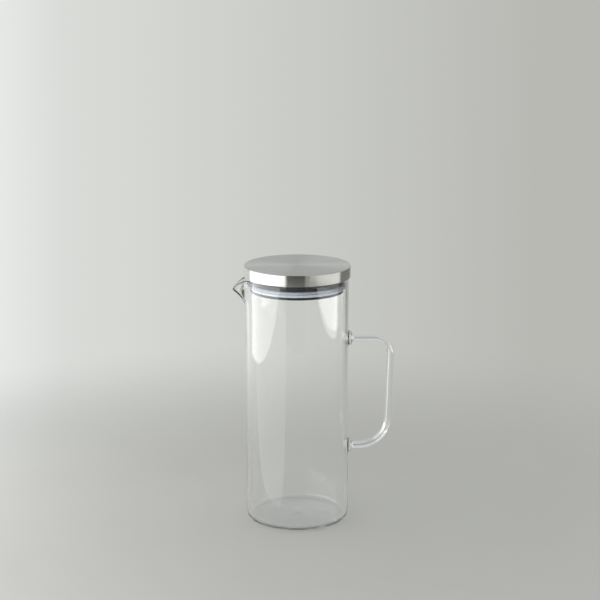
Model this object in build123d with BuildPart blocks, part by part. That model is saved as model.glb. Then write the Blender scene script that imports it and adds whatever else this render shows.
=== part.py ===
from build123d import *
import math
import os

# A tall covered glass jug. A straight cylinder of clear borosilicate glass has a beak pulled out of its
# rim and a bent glass rod fused to its wall as the handle. A flat steel cap over a moulded plug closes
# the mouth, and a pale silicone ring in the plug's groove wipes the inside of the glass.
# Millimetres. The origin is the centre of the base on the table, +Z is up, the beak points along -X
# and the handle along +X.

# Vessel
overall_height = 259.0
body_diameter = 102.0
glass_wall = 2.8
floor_thickness = 4.0
base_corner = 6.0
floor_corner = 4.5
punt_radius = 34.0
punt_depth = 1.2

# Beak, pulled out of the rim
beak_reach = 13.8
beak_depth = 32.0
beak_half_angle = 30.0
beak_sharpness = 3.1
beak_tip_ratio = 0.05
beak_lip_drop = 11.8
beak_wall_gain = 1.9
beak_overrun_ratio = 1.25
beak_root = 0.5
beak_margin = 2.0
beak_sections = 6
beak_angle_shares = (0, 0.06, 0.14, 0.26, 0.42, 0.66, 1)
dip_middle_ratio = 0.6

# Handle
rod_diameter = 7.0
handle_reach = 41.8
handle_lean = 3.0
upper_arm_height = 185.0
lower_arm_height = 74.0
upper_bend = 15.0
lower_bend = 29.0
foot_diameter = 14.4
foot_flange = 2.9
foot_neck = 1.6
foot_edge_round = 1.2
foot_throat_round = 1.3

# Steel cap
lid_overhang = 1.5
skirt_height = 11.5
cap_sheet = 0.8
hem_height = 2.4
cap_edge_round = 1.1
cap_inner_round = 0.3
hem_round = 0.7
skirt_gap = 1.2

# Moulded plug under the cap
plug_gap = 2.9
plug_drop = 14.5
plug_wall = 2.4
plug_roof = 2.5
plug_chamfer = 0.8
cap_fit = 0.1
pocket_floor = 2.2
pocket_rib_count = 12
pocket_rib_width = 1.4

# Silicone ring in the plug's groove
groove_top_drop = 6.4
groove_bottom_drop = 12.0
groove_depth = 2.4
ring_fit = 0.1
lip_clearance = 0.3
lip_thickness = 0.8
lip_rise = 1.0
lip_pitch = 2.2
ring_edge_round = 0.3

# Worked out from the sizes above
body_radius = body_diameter / 2
bore_radius = body_radius - glass_wall
cap_radius = body_radius + lid_overhang
skirt_bottom = overall_height - skirt_height
rim_height = skirt_bottom - skirt_gap
beak_start = rim_height - beak_depth
dip_start = body_radius * math.cos(math.radians(beak_half_angle))
dip_run = body_radius + beak_reach - dip_start
dip_radius = (dip_run**2 + beak_lip_drop**2) / (2 * beak_lip_drop)
plug_radius = bore_radius - plug_gap
plug_bottom = skirt_bottom - plug_drop
groove_top = skirt_bottom - groove_top_drop
groove_bottom = skirt_bottom - groove_bottom_drop
groove_radius = plug_radius - groove_depth
foot_length = foot_flange + foot_neck

print("rim at", rim_height, "bore radius", bore_radius, "plug radius", plug_radius)


def lip_height(reach):
    """Height of the rim's edge at a distance from the axis along the beak, which dips along an arc."""
    run = min(max(reach - dip_start, 0.0), dip_run)
    return rim_height - dip_radius + math.sqrt(dip_radius**2 - run**2)


def beak_share(angle):
    """How far the beak is drawn out at an angle from its middle line, 1 at the tip and 0 at its sides."""
    full = math.hypot(1, beak_tip_ratio) - beak_tip_ratio
    turn = (math.hypot(angle / beak_half_angle, beak_tip_ratio) - beak_tip_ratio) / full
    return (1 - min(turn, 1)) ** beak_sharpness


def beak_outline(height, wall_radius, reach):
    """Points of the beak's outline at one height, from one side to the other. It starts inside the wall."""
    half = [beak_half_angle * share for share in beak_angle_shares]
    points = []
    for angle in [-a for a in reversed(half[1:])] + half:
        share = beak_share(angle)
        edge = lip_height((body_radius + beak_reach * share) * math.cos(math.radians(angle)))
        climb = min((height - beak_start) / (edge - beak_start), beak_overrun_ratio)
        radius = wall_radius - beak_root + (reach + beak_root) * share * climb**2
        turn = math.radians(180.0 + angle)
        points.append((radius * math.cos(turn), radius * math.sin(turn)))
    return points


blank_height = rim_height + beak_margin
beak_step = (blank_height - beak_start) / beak_sections
beak_heights = [beak_start + beak_step * i for i in range(beak_sections + 1)]

# Glass vessel: a straight wall on a flat base whose middle is pushed up a little, and the beak
with BuildPart() as vessel:
    with BuildSketch(Plane.XZ):
        with BuildLine():
            Polyline((0, blank_height), (0, punt_depth))
            TangentArc((0, punt_depth), (punt_radius, 0), tangent=(1, 0))
            Line((punt_radius, 0), (body_radius - base_corner, 0))
            RadiusArc((body_radius - base_corner, 0), (body_radius, base_corner), -base_corner)
            Polyline((body_radius, base_corner), (body_radius, blank_height), (0, blank_height))
        make_face()
    revolve(axis=Axis.Z)
    for height in beak_heights:
        outline = beak_outline(height, body_radius, beak_reach)
        with BuildSketch(Plane.XY.offset(height)):
            with BuildLine():
                Spline(*outline)
                Line(outline[-1], outline[0])
            make_face()
    loft()

    # The hollow, and the channel inside the beak
    with BuildSketch(Plane.XZ):
        floor_top = floor_thickness + punt_depth
        floor_edge = floor_thickness + floor_corner
        floor_end = bore_radius - floor_corner
        with BuildLine():
            Polyline((0, blank_height), (0, floor_top))
            TangentArc((0, floor_top), (punt_radius, floor_thickness), tangent=(1, 0))
            Line((punt_radius, floor_thickness), (floor_end, floor_thickness))
            RadiusArc((floor_end, floor_thickness), (bore_radius, floor_edge), -floor_corner)
            Polyline((bore_radius, floor_edge), (bore_radius, blank_height), (0, blank_height))
        make_face()
    revolve(axis=Axis.Z, mode=Mode.SUBTRACT)
    for height in beak_heights:
        outline = beak_outline(height, bore_radius, beak_reach - beak_wall_gain)
        with BuildSketch(Plane.XY.offset(height)):
            with BuildLine():
                Spline(*outline)
                Line(outline[-1], outline[0])
            make_face()
    loft(mode=Mode.SUBTRACT)

    # The rim is cut level, and dips along an arc over the beak
    with BuildSketch(Plane.XZ):
        far = body_radius + 2 * beak_reach
        above = blank_height + beak_margin
        tip = body_radius + beak_reach
        middle = dip_start + dip_run * dip_middle_ratio
        with BuildLine():
            Polyline((-dip_start, rim_height), (far, rim_height), (far, above), (-far, above))
            Polyline((-far, above), (-far, lip_height(tip) - far + tip), (-tip, lip_height(tip)))
            ThreePointArc((-tip, lip_height(tip)), (-middle, lip_height(middle)), (-dip_start, rim_height))
        make_face()
    extrude(amount=far, both=True, mode=Mode.SUBTRACT)
vessel.part.label = "vessel"

# Handle rod: two arms and a grip that leans in a little towards its lower end
grip_top = body_radius + handle_reach
grip_bottom = grip_top - handle_lean
rod_start = body_radius + foot_length
with BuildPart() as handle_rod:
    with BuildLine(Plane.XZ) as rod_path:
        FilletPolyline(
            (rod_start, upper_arm_height),
            (grip_top, upper_arm_height),
            (grip_bottom, lower_arm_height),
            (rod_start, lower_arm_height),
            radius=[upper_bend, lower_bend],
        )
    with BuildSketch(Plane.YZ.offset(rod_start)):
        with Locations((0, upper_arm_height)):
            Circle(rod_diameter / 2)
    sweep()
handle_rod.part.label = "handle_rod"


def handle_foot(height):
    """A flared glass foot that fuses one end of the rod to the wall, hollowed to the wall's curve."""
    foot_radius = foot_diameter / 2
    throat = rod_diameter / 2
    inner = body_radius - glass_wall
    shoulder = body_radius + foot_flange
    with BuildPart() as foot:
        with BuildSketch(Plane.XZ):
            with BuildLine():
                Polyline(
                    (inner, height),
                    (inner, height + foot_radius),
                    (shoulder, height + foot_radius),
                    (shoulder, height + throat),
                    (rod_start, height + throat),
                    (rod_start, height),
                    close=True,
                )
            make_face()
            fillet(vertices().sort_by_distance((shoulder, height + foot_radius))[0], foot_edge_round)
            fillet(vertices().sort_by_distance((shoulder, height + throat))[0], foot_throat_round)
        revolve(axis=Axis((0, 0, height), (1, 0, 0)))
        on_base = (Align.CENTER, Align.CENTER, Align.MIN)
        Cylinder(body_radius, overall_height, align=on_base, mode=Mode.SUBTRACT)
    return foot.part


upper_handle_foot = handle_foot(upper_arm_height)
upper_handle_foot.label = "upper_handle_foot"
lower_handle_foot = handle_foot(lower_arm_height)
lower_handle_foot.label = "lower_handle_foot"

# Steel cap: drawn sheet, its skirt's edge turned up inside as a hem
with BuildPart() as lid_cap:
    inside = cap_radius - cap_sheet
    hem_inside = cap_radius - 2 * cap_sheet
    hem_top = skirt_bottom + hem_height
    ceiling = overall_height - cap_sheet
    with BuildSketch(Plane.XZ):
        with BuildLine():
            Polyline(
                (0, overall_height),
                (cap_radius, overall_height),
                (cap_radius, skirt_bottom),
                (hem_inside, skirt_bottom),
                (hem_inside, hem_top),
                (inside, hem_top),
                (inside, ceiling),
                (0, ceiling),
                close=True,
            )
        make_face()
        fillet(vertices().sort_by_distance((cap_radius, overall_height))[0], cap_edge_round)
        fillet(vertices().sort_by_distance((inside, ceiling))[0], cap_inner_round)
        fillet(vertices().sort_by_distance((cap_radius, skirt_bottom))[0], hem_round)
        fillet(vertices().sort_by_distance((hem_inside, skirt_bottom))[0], hem_round)
    revolve(axis=Axis.Z)
lid_cap.part.label = "lid_cap"

# Moulded plug: a disc pressed into the cap behind its hem, and a hollow neck with a groove
with BuildPart() as lid_plug:
    disc_radius = cap_radius - cap_sheet - cap_fit
    flange_radius = cap_radius - 2 * cap_sheet - cap_fit
    disc_bottom = skirt_bottom + hem_height + cap_fit
    disc_top = overall_height - cap_sheet
    recess_radius = groove_radius - plug_wall
    with BuildSketch(Plane.XZ):
        with BuildLine():
            Polyline(
                (0, disc_top),
                (disc_radius - cap_inner_round, disc_top),
                (disc_radius, disc_top - cap_inner_round),
                (disc_radius, disc_bottom),
                (flange_radius, disc_bottom),
                (flange_radius, rim_height),
                (plug_radius, rim_height),
                (plug_radius, groove_top),
                (groove_radius, groove_top),
                (groove_radius, groove_bottom),
                (plug_radius, groove_bottom),
                (plug_radius, plug_bottom + plug_chamfer),
                (plug_radius - plug_chamfer, plug_bottom),
                (recess_radius, plug_bottom),
                (recess_radius, disc_top - plug_roof),
                (0, disc_top - plug_roof),
                close=True,
            )
        make_face()
    revolve(axis=Axis.Z)

    # Cored ring under the cap, crossed by ribs
    pocket_inner = recess_radius + plug_wall
    pocket_outer = flange_radius - plug_wall
    with BuildSketch(Plane.XY.offset(disc_top)):
        Circle(pocket_outer)
        Circle(pocket_inner, mode=Mode.SUBTRACT)
        with PolarLocations((pocket_inner + pocket_outer) / 2, pocket_rib_count):
            Rectangle(2 * (pocket_outer - pocket_inner), pocket_rib_width, mode=Mode.SUBTRACT)
    extrude(amount=-(disc_top - rim_height - pocket_floor), mode=Mode.SUBTRACT)
lid_plug.part.label = "lid_plug"

# Silicone ring: a band that fills the groove, with two thin lips that lean up towards the glass
with BuildPart() as seal_ring:
    band_bottom = groove_bottom + ring_fit
    band_top = groove_top - ring_fit
    lip_radius = bore_radius - lip_clearance
    band_middle = (band_bottom + band_top) / 2
    with BuildSketch(Plane.XZ):
        with BuildLine():
            Polyline(
                (groove_radius + ring_fit, band_bottom),
                (plug_radius, band_bottom),
                (plug_radius, band_top),
                (groove_radius + ring_fit, band_top),
                close=True,
            )
        make_face()
        fillet(vertices().group_by(Axis.X)[-1], ring_edge_round)
        for lip_middle in (band_middle - lip_pitch / 2, band_middle + lip_pitch / 2):
            with BuildLine():
                Polyline(
                    (plug_radius - ring_fit, lip_middle - lip_thickness / 2),
                    (lip_radius, lip_middle - lip_thickness / 4 + lip_rise),
                    (lip_radius, lip_middle + lip_thickness / 4 + lip_rise),
                    (plug_radius - ring_fit, lip_middle + lip_thickness / 2),
                    close=True,
                )
            make_face()
    revolve(axis=Axis.Z)
seal_ring.part.label = "seal_ring"

os.makedirs("parts", exist_ok=True)
pieces = [
    vessel.part,
    handle_rod.part,
    upper_handle_foot,
    lower_handle_foot,
    lid_cap.part,
    lid_plug.part,
    seal_ring.part,
]
for piece in pieces:
    export_step(piece, f"parts/{piece.label}.step")
    print(piece.label, "volume", round(piece.volume, 1), "solids", len(piece.solids()))
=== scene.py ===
import bmesh
import bpy
import math
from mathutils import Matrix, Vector


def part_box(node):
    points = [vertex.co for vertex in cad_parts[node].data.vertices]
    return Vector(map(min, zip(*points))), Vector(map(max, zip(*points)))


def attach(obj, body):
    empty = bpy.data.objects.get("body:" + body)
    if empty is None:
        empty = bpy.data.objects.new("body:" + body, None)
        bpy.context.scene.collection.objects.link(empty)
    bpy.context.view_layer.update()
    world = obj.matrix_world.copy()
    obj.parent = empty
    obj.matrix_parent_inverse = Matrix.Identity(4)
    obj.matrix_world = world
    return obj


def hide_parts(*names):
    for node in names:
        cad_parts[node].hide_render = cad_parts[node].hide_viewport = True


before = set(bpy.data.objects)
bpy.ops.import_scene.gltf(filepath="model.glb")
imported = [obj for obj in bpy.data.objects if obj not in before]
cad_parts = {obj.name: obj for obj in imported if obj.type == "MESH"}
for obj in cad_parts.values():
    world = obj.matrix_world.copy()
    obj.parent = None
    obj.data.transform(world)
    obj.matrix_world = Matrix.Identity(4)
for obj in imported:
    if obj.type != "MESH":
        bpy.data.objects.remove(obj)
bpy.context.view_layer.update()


# Camera. It stands well back in front of the jug and looks slightly down on it, with the beak on the left and
# the handle on the right. The lens follows from the focal length in pixels of the 600-pixel frame.
mm = 0.001
photo_width = 600
focal_pixels = 1647.0
camera_side = 2.7 * mm
camera_distance = 1585 * mm
camera_height = 582.5 * mm
camera_pitch = 12.77
camera = bpy.data.objects.new("camera", bpy.data.cameras.new("camera"))
camera.data.sensor_width = 36.0
camera.data.lens = focal_pixels / photo_width * camera.data.sensor_width
camera.location = (camera_side, -camera_distance, camera_height)
camera.rotation_euler = (math.radians(90.0 - camera_pitch), 0.0, 0.0)
bpy.context.scene.collection.objects.link(camera)
bpy.context.scene.camera = camera


# Vessel. The real one is blown from clear borosilicate tube: its base is pressed flat with the middle pushed
# up, its rim is fire-polished round, and a beak for pouring is pulled out of the hot rim. Away from the beak,
# the rim ends out of sight inside the lid.
vessel_low, vessel_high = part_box("vessel")
body_radius = vessel_high.y
rim_height = vessel_high.z
hidden_rim = 2.7 * mm
glass_wall = 2.8 * mm
bore_radius = body_radius - glass_wall
bead_share = 0.45
bead_fullness = 0.98
bead_least_climb = 0.6
floor_thickness = 3.2 * mm
base_corner = 6 * mm
floor_corner = 3.4 * mm
punt_radius = 34 * mm
punt_depth = 1.2 * mm
nub_radius = 9 * mm
nub_height = 0.45 * mm
nub_steepness = 2
beak_reach = -vessel_low.x - body_radius
beak_wall_gain = 0.6 * mm
beak_depth = 32 * mm
beak_start = rim_height - beak_depth
beak_half_angle = math.radians(30.0)
beak_sharpness = 3.1
beak_tip_round = 0.05
beak_lip_drop = 11.8 * mm
covered_share = 0.02
dip_start = body_radius * math.cos(beak_half_angle)
dip_run = body_radius + beak_reach - dip_start
dip_radius = (dip_run**2 + beak_lip_drop**2) / (2 * beak_lip_drop)

around = 288
wall_rows = 70
row_crowding = 0.8
bead_rows = 10
punt_rows = 12
base_steps = 14
floor_steps = 12
floor_rows = 24
axis_tolerance = 1e-7


def arc(centre, radius, start, end, steps):
    """Points on an arc of a profile, from one angle in degrees to another."""
    points = []
    for i in range(steps + 1):
        turn = math.radians(start + (end - start) * i / steps)
        points.append((centre[0] + radius * math.cos(turn), centre[1] + radius * math.sin(turn)))
    return points


def mesh_piece(name, columns, loop=True, ring=False):
    """A mesh through columns of points: the last meets the first if loop, and each column closes if ring."""
    bm = bmesh.new()
    rows = []
    poles = {}
    for column in columns:
        row = []
        for index, point in enumerate(column):
            if not ring and loop and math.hypot(point[0], point[1]) < axis_tolerance:
                if index not in poles:
                    poles[index] = bm.verts.new(point)
                row.append(poles[index])
            else:
                row.append(bm.verts.new(point))
        rows.append(row)
    pairs = list(zip(rows, rows[1:])) + ([(rows[-1], rows[0])] if loop else [])
    for left, right in pairs:
        count = len(left)
        for i in range(count if ring else count - 1):
            j = (i + 1) % count
            face = []
            for vertex in (left[i], left[j], right[j], right[i]):
                if vertex not in face:
                    face.append(vertex)
            bm.faces.new(face)
    if not loop:
        bm.faces.new(rows[0])
        bm.faces.new(rows[-1])
    bmesh.ops.recalc_face_normals(bm, faces=bm.faces)
    mesh = bpy.data.meshes.new(name)
    bm.to_mesh(mesh)
    bm.free()
    piece = bpy.data.objects.new(name, mesh)
    bpy.context.scene.collection.objects.link(piece)
    return piece


def turned(name, profile, ring=False):
    """A piece turned about the jug's axis. profile gives the points (radius, height) at an angle."""
    columns = []
    for i in range(around):
        turn = 2 * math.pi * i / around
        columns.append([(r * math.cos(turn), r * math.sin(turn), z) for r, z in profile(turn)])
    return mesh_piece(name, columns, ring=ring)


def beak_share(turn):
    """How far the beak is drawn out at an angle round the jug, 1 at the tip and 0 at its sides."""
    away = abs(math.remainder(turn - math.pi, 2 * math.pi)) / beak_half_angle
    full = math.hypot(1.0, beak_tip_round) - beak_tip_round
    return (1.0 - min((math.hypot(away, beak_tip_round) - beak_tip_round) / full, 1.0)) ** beak_sharpness


def lip_height(turn):
    """Height of the rim's edge at an angle: it ends inside the lid, and dips along an arc over the beak."""
    share = beak_share(turn)
    reach = (body_radius + beak_reach * share) * abs(math.cos(turn))
    run = min(max(reach - dip_start, 0.0), dip_run) if math.cos(turn) < 0 else 0.0
    covered = max(1.0 - share / covered_share, 0.0)
    lift = hidden_rim * covered * covered * (3.0 - 2.0 * covered)
    return rim_height + lift - dip_radius + math.sqrt(dip_radius**2 - run**2)


def wall_point(turn, share, edge, inner):
    """A point on the outer or inner wall, a share of the way up from the base corner to the rim's bead."""
    low = floor_thickness + floor_corner if inner else base_corner
    top = edge - glass_wall * bead_share
    height = low + (top - low) * share
    climb = max(height - beak_start, 0.0) / (edge - beak_start)
    radius = bore_radius if inner else body_radius
    reach = beak_reach - (beak_wall_gain if inner else 0.0)
    return radius + reach * beak_share(turn) * climb**2, height


def rim_bead(outer, inner, edge):
    """The round edge of the rim, from the top of the outer wall over to the top of the inner one."""
    up = (Vector(outer[-1]) - Vector(outer[-2]) + Vector(inner[-1]) - Vector(inner[-2])).normalized()
    middle = (Vector(outer[-1]) + Vector(inner[-1])) / 2
    across = (Vector(outer[-1]) - Vector(inner[-1])) / 2
    height = (edge - middle.y) * bead_fullness
    points = []
    for i in range(1, bead_rows):
        bow = math.pi * i / bead_rows
        rise = up * height * math.sin(bow) / max(up.y, bead_least_climb)
        points.append(tuple(middle + across * math.cos(bow) + rise))
    return points


def punt(radius):
    """Height of the base's pushed-up middle at a distance from the axis."""
    return punt_depth * (1 - (radius / punt_radius) ** 2)


def glass_profile(turn):
    """The vessel's section at an angle: under the base, up the outside, over the rim and down the inside."""
    edge = lip_height(turn)
    shares = [(i / wall_rows) ** row_crowding for i in range(wall_rows + 1)]
    outer = [wall_point(turn, share, edge, False) for share in shares]
    inner = [wall_point(turn, share, edge, True) for share in shares]
    under = []
    for i in range(punt_rows + 1):
        radius = punt_radius * i / punt_rows
        under.append((radius, punt(radius)))
    base_centre = (body_radius - base_corner, base_corner)
    base_round = arc(base_centre, base_corner, -90, 0, base_steps)[:-1]
    floor_centre = (bore_radius - floor_corner, floor_thickness + floor_corner)
    floor_round = arc(floor_centre, floor_corner, 0, -90, floor_steps)[1:]
    bottom = []
    for i in range(floor_rows, -1, -1):
        radius = punt_radius * i / floor_rows
        nub = nub_height * math.exp(-nub_steepness * (radius / nub_radius) ** 2)
        bottom.append((radius, floor_thickness + punt(radius) + nub))
    return under + base_round + outer + rim_bead(outer, inner, edge) + inner[::-1] + floor_round + bottom


jug_glass = turned("jug_glass", glass_profile)


# Handle. A clear glass rod, bent twice while hot and melted to the wall with a flared foot at each end.
# Nothing parts it from the vessel then, so here both are joined into one piece of glass and get one finish.
handle_low, handle_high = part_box("handle_rod")
rod_radius = 3.5 * mm
upper_arm = handle_high.z - rod_radius
lower_arm = handle_low.z + rod_radius
handle_reach = 41.8 * mm
handle_lean = 3 * mm
grip_top = body_radius + handle_reach
grip_bottom = grip_top - handle_lean
upper_bend = 15 * mm
lower_bend = 29 * mm
foot_radius = 7.2 * mm
foot_flange = 2.9 * mm
foot_round = 1.3 * mm
foot_neck = 1.6 * mm
neck_gain = 2.0 * mm
neck_curve = 2.6
melt_gain = 0.9 * mm
melt_start = -0.5 * mm
melt_fade = 0.45 * mm
root_share = 0.55
root = body_radius - glass_wall * root_share

# Millimetres from the root, which is inside the wall, to the foot's rings of points: closest at its edges.
stations = [0.0, 0.4, 0.8, 1.2, 1.5, 1.8, 2.2, 2.8, 3.3, 3.7, 4.0, 4.2, 4.35, 4.43, 4.46]
stations += [4.7, 5.0, 5.4, 6.1, 7.2, 9.0]
rod_sides = 56
bend_step = math.radians(9)


def rounded(corners):
    """A profile through corners (x, z) or (x, z, radius), with an arc at each corner that has a radius."""
    points = []
    for i, corner in enumerate(corners):
        here = Vector(corner[:2])
        if len(corner) == 2:
            points.append(tuple(here))
            continue
        radius = corner[2]
        back = (Vector(corners[i - 1][:2]) - here).normalized()
        ahead = (Vector(corners[(i + 1) % len(corners)][:2]) - here).normalized()
        half = back.angle(ahead) / 2
        centre = here + (back + ahead).normalized() * (radius / math.sin(half))
        first = here + back * (radius / math.tan(half)) - centre
        sweep = -first.angle_signed(here + ahead * (radius / math.tan(half)) - centre)
        steps = max(2, math.ceil(abs(sweep) / bend_step))
        begin = math.atan2(first.y, first.x)
        points += arc(centre, radius, math.degrees(begin), math.degrees(begin + sweep), steps)
    return points


def rod_thickness(reach):
    """Radius of the rod at a distance from the jug's axis: it flares into the foot, which meets the wall."""
    out = reach - body_radius
    if out < foot_flange:
        edge = max(out - foot_flange + foot_round, 0.0)
        spread = melt_gain * math.exp(-max(out - melt_start, 0.0) / melt_fade)
        return foot_radius + spread - foot_round + math.sqrt(max(foot_round**2 - edge**2, 0.0))
    waist = 1.0 - min((out - foot_flange) / foot_neck, 1.0)
    return rod_radius + neck_gain * waist**neck_curve


def smooth(piece, crease):
    """Shades a piece smooth, with a hard edge wherever two faces meet at more than crease degrees."""
    piece.data.shade_smooth()
    piece.data.set_sharp_from_angle(angle=math.radians(crease))


bends = [(grip_top, upper_arm, upper_bend), (grip_bottom, lower_arm, lower_bend)]
rod_line = rounded([(root, upper_arm), *bends, (root, lower_arm)])
foot_line = [root + station * mm for station in stations]
upper_foot = [(reach, upper_arm) for reach in foot_line]
lower_foot = [(reach, lower_arm) for reach in reversed(foot_line)]
rod_line = upper_foot + rod_line[1:-1] + lower_foot
columns = []
for i, (x, z) in enumerate(rod_line):
    before = Vector(rod_line[max(i - 1, 0)])
    after = Vector(rod_line[min(i + 1, len(rod_line) - 1)])
    along = (after - before).normalized()
    side = Vector((-along.y, 0.0, along.x))
    thickness = rod_thickness(x)
    column = []
    for k in range(rod_sides):
        bow = 2 * math.pi * k / rod_sides
        offset = side * (thickness * math.cos(bow)) + Vector((0.0, thickness * math.sin(bow), 0.0))
        column.append((x + offset.x, offset.y, z + offset.z))
    columns.append(column)
handle = mesh_piece("handle", columns, loop=False, ring=True)

union = jug_glass.modifiers.new("melt", "BOOLEAN")
union.operation = "UNION"
union.solver = "EXACT"
union.object = handle
evaluated = jug_glass.evaluated_get(bpy.context.evaluated_depsgraph_get())
jug_glass.data = bpy.data.meshes.new_from_object(evaluated)
jug_glass.modifiers.clear()
bpy.data.objects.remove(handle)
smooth(jug_glass, crease=48)


class Tone:
    """One output of a finish's nodes. A sum or product of it adds a Math node to the same tree."""

    def __init__(self, tree, socket=None):
        self.tree = tree
        self.socket = socket

    def node(self, kind, settings, sockets, output=0):
        """Adds a node: its settings first, then the values or links of its sockets. Returns one output."""
        made = self.tree.nodes.new("ShaderNode" + kind)
        for name, value in settings.items():
            if name == "stops":
                while len(made.color_ramp.elements) < len(value):
                    made.color_ramp.elements.new(0.5)
                for element, (place, colour) in zip(made.color_ramp.elements, value):
                    element.position = place
                    element.color = colour
            else:
                setattr(made, name, value)
        for name, value in sockets.items():
            if isinstance(value, Tone):
                self.tree.links.new(value.socket, made.inputs[name])
            else:
                made.inputs[name].default_value = value
        return Tone(self.tree, made.outputs[output] if len(made.outputs) else None)

    def out(self, name):
        """Another output of the same node."""
        return Tone(self.tree, self.socket.node.outputs[name])

    def math(self, operation, first, second=0.0):
        """A Math node on two tones or values."""
        return self.node("Math", {"operation": operation}, {0: first, 1: second})

    def __add__(self, other):
        return self.math("ADD", self, other)

    def __radd__(self, other):
        return self.math("ADD", other, self)

    def __sub__(self, other):
        return self.math("SUBTRACT", self, other)

    def __rsub__(self, other):
        return self.math("SUBTRACT", other, self)

    def __mul__(self, other):
        return self.math("MULTIPLY", self, other)

    def __rmul__(self, other):
        return self.math("MULTIPLY", other, self)

    def __truediv__(self, other):
        return self.math("DIVIDE", self, other)

    def __pow__(self, other):
        return self.math("POWER", self, other)


def new_finish(name):
    """An empty material, and a tone that adds nodes to it."""
    material = bpy.data.materials.new(name)
    material.use_nodes = True
    material.node_tree.nodes.clear()
    return material, Tone(material.node_tree)


glass_index = 1.474
glass_tint = (0.996, 1.0, 0.996, 1.0)
glass_shadow = (0.972, 0.976, 0.973, 1.0)
draw_stretch = (1.0, 1.0, 0.12)
draw_share = 0.4
smudge_roughness = 0.02

# The rod and its feet get a clear coat of high index, because the real rod carries a bright white streak.
sheen_index = 3.4
sheen_start = body_radius + 0.5 * mm
sheen_full = sheen_start + mm

clear_glass, tone = new_finish("clear_glass")
place = tone.node("TexCoord", {}, {}, "Object")
stretched = tone.node("VectorMath", {"operation": "MULTIPLY"}, {0: place, 1: draw_stretch}, "Vector")
draw_lines = tone.node("TexNoise", {}, {"Vector": stretched, "Scale": 70.0, "Detail": 2.0}, "Fac")
ripple = tone.node("TexNoise", {}, {"Vector": place, "Scale": 22.0, "Detail": 1.0}, "Fac")
waviness = draw_lines * draw_share + ripple * (1.0 - draw_share)
relief = tone.node("Bump", {}, {"Strength": 0.06, "Distance": 0.002, "Height": waviness}, "Normal")
smudge = tone.node("TexNoise", {}, {"Vector": place, "Scale": 35.0, "Detail": 4.0, "Roughness": 0.6}, "Fac")
smudged = tone.node("MapRange", {}, {"Value": smudge, "From Min": 0.55, "From Max": 0.8}, "Result")
outward = tone.node("SeparateXYZ", {}, {"Vector": place}, "X")
handle_range = {"Value": outward, "From Min": sheen_start, "From Max": sheen_full}
on_handle = tone.node("MapRange", {}, handle_range, "Result")
shader = tone.node(
    "BsdfPrincipled",
    {},
    {
        "Base Color": glass_tint,
        "Roughness": smudged * smudge_roughness,
        "IOR": glass_index,
        "Transmission Weight": 1.0,
        "Coat Weight": on_handle,
        "Coat IOR": sheen_index,
        "Coat Roughness": 0.02,
        "Normal": relief,
    },
    "BSDF",
)
shadow_ray = tone.node("LightPath", {}, {}, "Is Shadow Ray")
let_through = tone.node("BsdfTransparent", {}, {"Color": glass_shadow}, "BSDF")
glass = tone.node("MixShader", {}, {0: shadow_ray, 1: shader, 2: let_through}, "Shader")
tone.node("OutputMaterial", {}, {"Surface": glass})
jug_glass.data.materials.append(clear_glass)
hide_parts("vessel", "handle_rod", "upper_handle_foot", "lower_handle_foot")
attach(jug_glass, "jug")


# Lid plug. One moulding of black plastic: its disc fills the steel cap above the glass rim, and its hollow
# neck reaches down into the mouth, with a groove round it that holds the silicone ring.
plug_low, plug_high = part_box("lid_plug")
ring_low, ring_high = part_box("seal_ring")
plug_radius = bore_radius - 2.9 * mm
groove_depth = 2.4 * mm
plug_wall = 2.4 * mm
plug_roof = 2.5 * mm
ring_fit = 0.1 * mm
rim_gap = 0.05 * mm
disc_bottom = rim_height + hidden_rim + rim_gap
groove_radius = plug_radius - groove_depth
groove_top = ring_high.z + ring_fit
groove_bottom = ring_low.z - ring_fit
recess_radius = groove_radius - plug_wall
recess_top = plug_high.z - plug_roof
disc_edge = 0.4 * mm
disc_round = 0.3 * mm
groove_edge = 0.25 * mm
groove_root = 0.2 * mm
neck_edge = 0.8 * mm
recess_edge = 0.5 * mm
recess_corner = 1.5 * mm
plug_profile = rounded(
    [
        (0.0, plug_high.z),
        (plug_high.y, plug_high.z, disc_edge),
        (plug_high.y, disc_bottom, disc_round),
        (plug_radius, disc_bottom, disc_round),
        (plug_radius, groove_top, groove_edge),
        (groove_radius, groove_top, groove_root),
        (groove_radius, groove_bottom, groove_root),
        (plug_radius, groove_bottom, groove_edge),
        (plug_radius, plug_low.z, neck_edge),
        (recess_radius, plug_low.z, recess_edge),
        (recess_radius, recess_top, recess_corner),
        (0.0, recess_top),
    ]
)
lid_plug = turned("lid_plug_moulding", lambda turn: plug_profile)
smooth(lid_plug, crease=40)
plug_stops = [(0.3, (0.007, 0.007, 0.009, 1.0)), (0.7, (0.012, 0.012, 0.015, 1.0))]
plug_roughness = 0.26
plug_unevenness = 0.16
black_plastic, tone = new_finish("black_plastic")
place = tone.node("TexCoord", {}, {}, "Object")
spark = tone.node("TexNoise", {}, {"Vector": place, "Scale": 2600.0, "Detail": 2.0}, "Fac")
flow = tone.node("TexNoise", {}, {"Vector": place, "Scale": 60.0, "Detail": 3.0}, "Fac")
relief = tone.node("Bump", {}, {"Strength": 0.15, "Distance": 0.0002, "Height": spark}, "Normal")
shader = tone.node(
    "BsdfPrincipled",
    {},
    {
        "Base Color": tone.node("ValToRGB", {"stops": plug_stops}, {"Fac": flow}, "Color"),
        "Roughness": flow * plug_unevenness + plug_roughness,
        "Specular IOR Level": 0.15,
        "Normal": relief,
    },
    "BSDF",
)
tone.node("OutputMaterial", {}, {"Surface": shader})
lid_plug.data.materials.append(black_plastic)
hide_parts("lid_plug")
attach(lid_plug, "lid")


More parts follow.
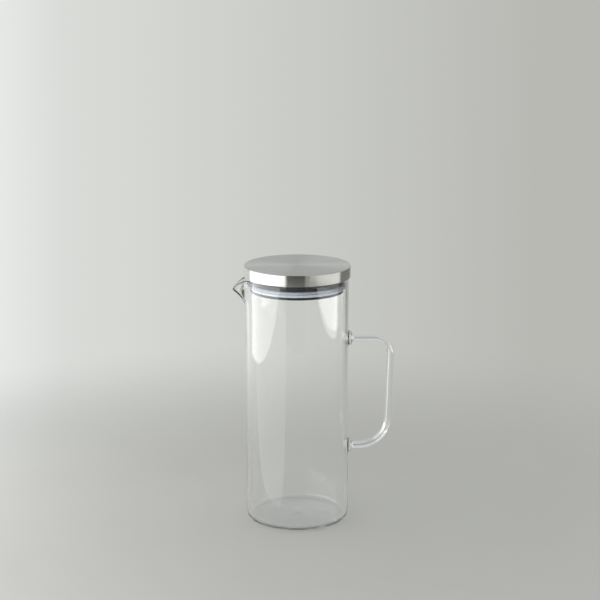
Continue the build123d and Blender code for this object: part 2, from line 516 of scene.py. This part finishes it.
# Seal ring. Pale translucent silicone, moulded in one piece: a band that fills the plug's groove, with two
# thin lips that lean upwards, towards the inside of the glass.
lip_reach = ring_high.y
lip_thickness = 0.8 * mm
lip_rise = 1.0 * mm
lip_pitch = 2.2 * mm
lip_round = 0.18 * mm
band_edge = 0.3 * mm
band_root = 0.2 * mm
band_middle = (ring_low.z + ring_high.z) / 2
ring_inner = groove_radius + ring_fit
ring_corners = [(ring_inner, ring_low.z, band_root), (plug_radius, ring_low.z, band_edge)]
for middle in (band_middle - lip_pitch / 2, band_middle + lip_pitch / 2):
    ring_corners += [
        (plug_radius, middle - lip_thickness / 2),
        (lip_reach, middle - lip_thickness / 4 + lip_rise, lip_round),
        (lip_reach, middle + lip_thickness / 4 + lip_rise, lip_round),
        (plug_radius, middle + lip_thickness / 2),
    ]
ring_corners += [(plug_radius, ring_high.z, band_edge), (ring_inner, ring_high.z, band_root)]
ring_profile = rounded(ring_corners)
seal_ring = turned("silicone_ring", lambda turn: ring_profile, ring=True)
smooth(seal_ring, crease=40)
cloud_stops = [(0.3, (0.64, 0.70, 0.76, 1.0)), (0.7, (0.74, 0.80, 0.86, 1.0))]
ring_roughness = 0.3
dust_roughness = 0.12
silicone, tone = new_finish("silicone")
place = tone.node("TexCoord", {}, {}, "Object")
cloud = tone.node("TexNoise", {}, {"Vector": place, "Scale": 90.0, "Detail": 3.0}, "Fac")
dust = tone.node("TexNoise", {}, {"Vector": place, "Scale": 900.0, "Detail": 2.0}, "Fac")
relief = tone.node("Bump", {}, {"Strength": 0.1, "Distance": 0.0002, "Height": dust}, "Normal")
shader = tone.node(
    "BsdfPrincipled",
    {},
    {
        "Base Color": tone.node("ValToRGB", {"stops": cloud_stops}, {"Fac": cloud}, "Color"),
        "Roughness": dust * dust_roughness + ring_roughness,
        "Subsurface Weight": 0.35,
        "Subsurface Scale": 0.002,
        "Normal": relief,
    },
    "BSDF",
)
tone.node("OutputMaterial", {}, {"Surface": shader})
seal_ring.data.materials.append(silicone)
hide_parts("seal_ring")
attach(seal_ring, "seal")


# Lid cap. Stainless steel sheet, drawn in one piece to a flat top and a straight skirt, and pressed on over
# the plug's disc. The top is brushed in circles and the skirt along its length.
cap_low, cap_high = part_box("lid_cap")
cap_radius = cap_high.x
cap_sheet = 0.8 * mm
ceiling = cap_high.z - cap_sheet
inner_radius = cap_radius - cap_sheet
shoulder_round = 1.1 * mm
skirt_round = 0.35 * mm
ceiling_round = 0.3 * mm
cap_profile = rounded(
    [
        (0.0, cap_high.z),
        (cap_radius, cap_high.z, shoulder_round),
        (cap_radius, cap_low.z, skirt_round),
        (inner_radius, cap_low.z, skirt_round),
        (inner_radius, ceiling, ceiling_round),
        (0.0, ceiling),
    ]
)
lid_cap = turned("steel_cap", lambda turn: cap_profile)
smooth(lid_cap, crease=40)
steel_stops = [(0.25, (0.51, 0.515, 0.48, 1.0)), (0.75, (0.62, 0.625, 0.585, 1.0))]
steel_roughness = 0.12
top_gain = 0.12
top_edge = cap_high.z - 0.9 * mm
brush_pitch = 5200.0
brush_reach = 2.0
band_pitch = 0.08
brush_share = 0.6
brush_roughness = 0.06
band_roughness = 0.08
centre_calm = 0.5 * mm
brushed_steel, tone = new_finish("brushed_steel")
place = tone.node("TexCoord", {}, {}, "Object")
across = tone.node("SeparateXYZ", {}, {"Vector": place}, "X")
along = across.out("Y")
height = across.out("Z")
radius = (across * across + along * along) ** 0.5
ahead = across / tone.math("MAXIMUM", radius, centre_calm)
aside = along / tone.math("MAXIMUM", radius, centre_calm)
travel = (radius + height) * brush_pitch
brush_place = {"X": travel, "Y": ahead * brush_reach, "Z": aside * brush_reach}
brush_vector = tone.node("CombineXYZ", {}, brush_place, "Vector")
brush = tone.node("TexNoise", {}, {"Vector": brush_vector, "Scale": 1.0, "Detail": 3.0}, "Fac")
band_vector = tone.node("CombineXYZ", {}, {"X": travel * band_pitch, "Y": ahead, "Z": aside}, "Vector")
bands = tone.node("TexNoise", {}, {"Vector": band_vector, "Scale": 1.0, "Detail": 2.0}, "Fac")
on_top = tone.math("GREATER_THAN", height, top_edge)
relief = tone.node("Bump", {}, {"Strength": 0.12, "Distance": 0.0001, "Height": brush}, "Normal")
brushing = brush * brush_share + bands * (1.0 - brush_share)
roughness = bands * band_roughness + brush * brush_roughness + on_top * top_gain + steel_roughness
shader = tone.node(
    "BsdfPrincipled",
    {},
    {
        "Base Color": tone.node("ValToRGB", {"stops": steel_stops}, {"Fac": brushing}, "Color"),
        "Metallic": 1.0,
        "Roughness": roughness,
        "Anisotropic": 0.96,
        "Anisotropic Rotation": 0.25,
        "Normal": relief,
    },
    "BSDF",
)
tone.node("OutputMaterial", {}, {"Surface": shader})
lid_cap.data.materials.append(brushed_steel)
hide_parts("lid_cap")
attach(lid_cap, "lid")


# Studio. A plain pale floor under even light, and on each side a soft panel with a brighter strip at its
# foot. A white sheet on the floor and a dark card in front show only as reflections in the glass and the
# steel. Far from the jug the floor glows with painted light instead of being lit: a ramp, paler on the left
# and darker on the right as if light fell from the left, standing in for a paper sweep lit from the left.
floor_half = 30.0
floor_gap = 0.15 * mm
floor_colour = (0.55, 0.55, 0.52)
grain_shade = 0.975
# Painted light: the ramp's colours run from near white on the left to dark grey on the right, standing in for
# light from the left.
painted_light_stops = [
    (0.12, (0.97, 0.99, 0.98, 1.0)),
    (0.28, (0.70, 0.715, 0.69, 1.0)),
    (0.72, (0.48, 0.485, 0.455, 1.0)),
    (0.86, (0.26, 0.26, 0.24, 1.0)),
]
sweep_start = 0.16
sweep_full = 0.72
sweep_centre = 1.6
sweep_side = 0.32

# Seen straight, the painted light stays between these shares of its width; its ends, painted near white on
# the left and dark grey on the right, show only as painted reflections.
plain_left = 0.2
plain_right = 0.72


def flat(name, corners):
    """A flat piece with four corners."""
    mesh = bpy.data.meshes.new(name)
    mesh.from_pydata(corners, [], [(0, 1, 2, 3)])
    piece = bpy.data.objects.new(name, mesh)
    bpy.context.scene.collection.objects.link(piece)
    return piece


floor_front = [(-floor_half, -floor_half, 0), (floor_half, -floor_half, 0)]
floor_back = [(floor_half, floor_half, 0), (-floor_half, floor_half, 0)]
floor = flat("floor", floor_front + floor_back)
floor.location.z = -floor_gap
pale_floor, tone = new_finish("pale_floor")
place = tone.node("TexCoord", {}, {}, "Object")
grain = tone.node("TexNoise", {}, {"Vector": place, "Scale": 9.0, "Detail": 4.0}, "Fac")
floor_stops = [(0.3, (*(c * grain_shade for c in floor_colour), 1.0)), (0.7, (*floor_colour, 1.0))]
shader = tone.node(
    "BsdfPrincipled",
    {},
    {
        "Base Color": tone.node("ValToRGB", {"stops": floor_stops}, {"Fac": grain}, "Color"),
        "Roughness": 0.7,
        "Specular IOR Level": 0.0,
    },
    "BSDF",
)
away = tone.node("VectorMath", {"operation": "LENGTH"}, {0: place}, "Value")
far_range = {"Value": away, "From Min": sweep_start, "From Max": sweep_full}
far = tone.node("MapRange", {"interpolation_type": "SMOOTHSTEP"}, far_range, "Result")
aside = tone.node("SeparateXYZ", {}, {"Vector": place}, "X")
side_range = {"Value": aside / (away + sweep_centre), "From Min": -sweep_side, "From Max": sweep_side}
across = tone.node("MapRange", {}, side_range, "Result")
camera_ray = tone.node("LightPath", {}, {}, "Is Camera Ray")
mirrored = camera_ray.out("Is Glossy Ray")
plain = tone.math("MINIMUM", tone.math("MAXIMUM", across, plain_left), plain_right)
across = plain + (across - plain) * mirrored
sweep = tone.node("ValToRGB", {"stops": painted_light_stops}, {"Fac": across}, "Color")
# Far from the jug the floor glows with this painted light, in place of being lit.
painted_glow = tone.node("Emission", {}, {"Color": sweep, "Strength": 1.0}, "Emission")
seen = tone.math("MINIMUM", camera_ray + mirrored + camera_ray.out("Is Transmission Ray"), 1.0)
ground = tone.node("MixShader", {}, {0: far * seen, 1: shader, 2: painted_glow}, "Shader")
tone.node("OutputMaterial", {}, {"Surface": ground})
floor.data.materials.append(pale_floor)


def glow(name, radiance):
    """Even light that isn't seen straight through glass, but in reflections and on what it lights."""
    finish, tone = new_finish(name)
    through = tone.node("LightPath", {}, {}, "Is Transmission Ray")
    unmirrored = tone.math("LESS_THAN", through.out("Glossy Depth"), 0.5)
    light = tone.node("Emission", {}, {"Strength": radiance}, "Emission")
    gone = tone.node("BsdfTransparent", {}, {}, "BSDF")
    mixed = tone.node("MixShader", {}, {0: through * unmirrored, 1: light, 2: gone}, "Shader")
    tone.node("OutputMaterial", {}, {"Surface": mixed})
    return finish


def unseen(piece, lights):
    """Keeps a piece of the studio out of the picture. Unless it lights, only a reflection shows it."""
    piece.visible_camera = False
    piece.visible_diffuse = lights
    piece.visible_transmission = lights
    piece.visible_shadow = False


def panel(name, corners, radiance, lights=True):
    """A soft flat light panel. radiance is how bright it looks, 1 being white."""
    card = flat(name, corners)
    card.data.materials.append(glow(name, radiance))
    unseen(card, lights)


def upright(back, front, bottom, top):
    """The corners of an upright panel between two points on the floor."""
    return [(*back, bottom), (*front, bottom), (*front, top), (*back, top)]


# The left side is a tall panel in two tones, with its strip 2 mm in front.
left_back, left_front = (-0.482, 0.249), (-0.708, -1.60)
left_foot, left_middle, left_top = 0.041, 0.31, 0.75
panel("left_panel", upright(left_back, left_front, left_foot, left_middle), radiance=2.1)
panel("left_upper_panel", upright(left_back, left_front, left_middle, left_top), radiance=1.35)
strip_back, strip_front, strip_top = (-0.480, 0.249), (-0.706, -1.60), 0.16
panel("left_strip", upright(strip_back, strip_front, left_foot, strip_top), radiance=3.2)

# The right side is lower and dimmer, with its strip 1 mm in front.
right_back, right_front, right_foot, right_top = (0.66, 0.14), (0.66, -1.37), 0.05, 0.28
panel("right_panel", upright(right_back, right_front, right_foot, right_top), radiance=1.15)
strip_back, strip_front, strip_foot, strip_top = (0.659, 0.10), (0.659, -0.78), 0.048, 0.10
panel("right_strip", upright(strip_back, strip_front, strip_foot, strip_top), radiance=2.0)

# The sheet gives the handle's streak its light from below.
sheet_corners = [(-0.80, 0.20, 0.0), (-0.80, -0.90, 0.0), (-0.40, -0.90, 0.0), (-0.06, -0.10, 0.0)]
panel("low_sheet", sheet_corners, radiance=1.7, lights=False)

# The dark card gives the steel skirt its dark band.
card_left, card_right, card_y, card_top = -0.325, 0.225, -0.75, 0.9
dark_card = flat("dark_card", upright((card_left, card_y), (card_right, card_y), 0.0, card_top))
card_finish, tone = new_finish("dark_card")
shader = tone.node("BsdfDiffuse", {}, {"Color": (0.09, 0.09, 0.085, 1.0)}, "BSDF")
tone.node("OutputMaterial", {}, {"Surface": shader})
dark_card.data.materials.append(card_finish)
unseen(dark_card, lights=False)

world = bpy.data.worlds.new("studio")
bpy.context.scene.world = world
world.use_nodes = True
background = world.node_tree.nodes["Background"]
background.inputs["Color"].default_value = (0.96, 0.98, 1.0, 1.0)
background.inputs["Strength"].default_value = 0.68
bpy.context.scene.view_settings.view_transform = "Standard"

# Light bounces many times inside clear glass, and a path that is cut short ends in black.
bpy.context.scene.cycles.glossy_bounces = 16
bpy.context.scene.cycles.transmission_bounces = 24
bpy.context.scene.cycles.max_bounces = 32
